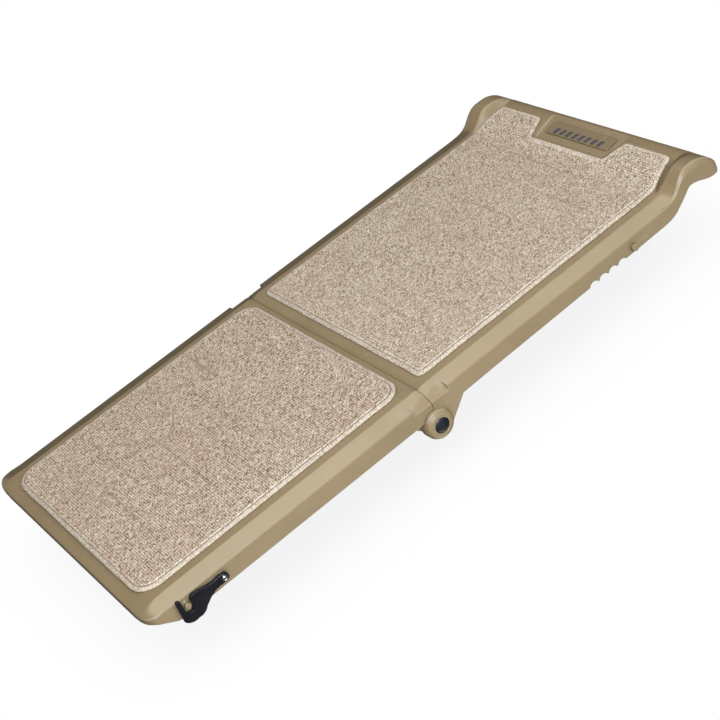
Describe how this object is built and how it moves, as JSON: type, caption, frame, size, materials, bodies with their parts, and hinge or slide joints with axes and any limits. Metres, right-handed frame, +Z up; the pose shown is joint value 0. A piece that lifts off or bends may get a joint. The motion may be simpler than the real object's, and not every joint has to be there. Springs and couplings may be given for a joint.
{
  "type": "dog ramp",
  "caption": "Folding dog ramp: moulded tan panels hinged at the middle, carpeted treads, a hooked lip at the upper end and a latch hook on one side.",
  "frame": {"origin": "middle of the unfolded ramp, on the plane that the hinge bosses stand on", "axes": "+X up the ramp to the lip, +Y to the ramp's left side, +Z up out of the treads"},
  "size_m": [0.975, 0.5068, 0.0913],
  "materials": {
    "tan_plastic": "moulded, fine matte texture",
    "plate_plastic": "moulded, matte",
    "carpet": "looped cream and brown pile with a serged edge",
    "black_plastic": "moulded, satin",
    "black_rubber": "matte",
    "zinc_steel": "zinc plated",
    "natural_nylon": "smooth",
    "hook_tape": "woven hook tape"
  },
  "bodies": {
    "upper": {"upper_ramp": "tan_plastic", "upper_carpet": "carpet", "name_plate": "plate_plastic", "upper_carpet_tape_1": "hook_tape", "upper_carpet_tape_2": "hook_tape", "upper_carpet_tape_3": "hook_tape", "upper_carpet_tape_4": "hook_tape", "lip_grip_right": "black_rubber", "hinge_pin_right": "zinc_steel", "hinge_cap_right": "black_plastic", "hinge_washer_right": "natural_nylon", "hinge_end_washer_right": "zinc_steel", "hinge_nut_right": "zinc_steel", "lip_grip_left": "black_rubber", "hinge_pin_left": "zinc_steel", "hinge_cap_left": "black_plastic", "hinge_washer_left": "natural_nylon", "hinge_end_washer_left": "zinc_steel", "hinge_nut_left": "zinc_steel"},
    "lower": {"lower_ramp": "tan_plastic", "lower_carpet": "carpet", "ground_grip_strip": "black_rubber", "lower_carpet_tape_1": "hook_tape", "lower_carpet_tape_2": "hook_tape", "lower_carpet_tape_3": "hook_tape", "lower_carpet_tape_4": "hook_tape", "hinge_bush_right": "natural_nylon", "hinge_bush_left": "natural_nylon", "latch_washer": "natural_nylon", "latch_screw": "zinc_steel"},
    "hook": {"latch_hook": "black_plastic"}
  },
  "joints": [
    {"name": "fold", "type": "hinge", "parent": "upper", "child": "lower", "pos_m": [-0.03905, 0, 0.0215], "axis": [0, -1, 0], "range_deg": [0, 180]},
    {"name": "latch", "type": "hinge", "parent": "lower", "child": "hook", "pos_m": [-0.37805, -0.2436, 0.049], "axis": [0, -1, 0], "range_deg": [0, 120]}
  ]
}
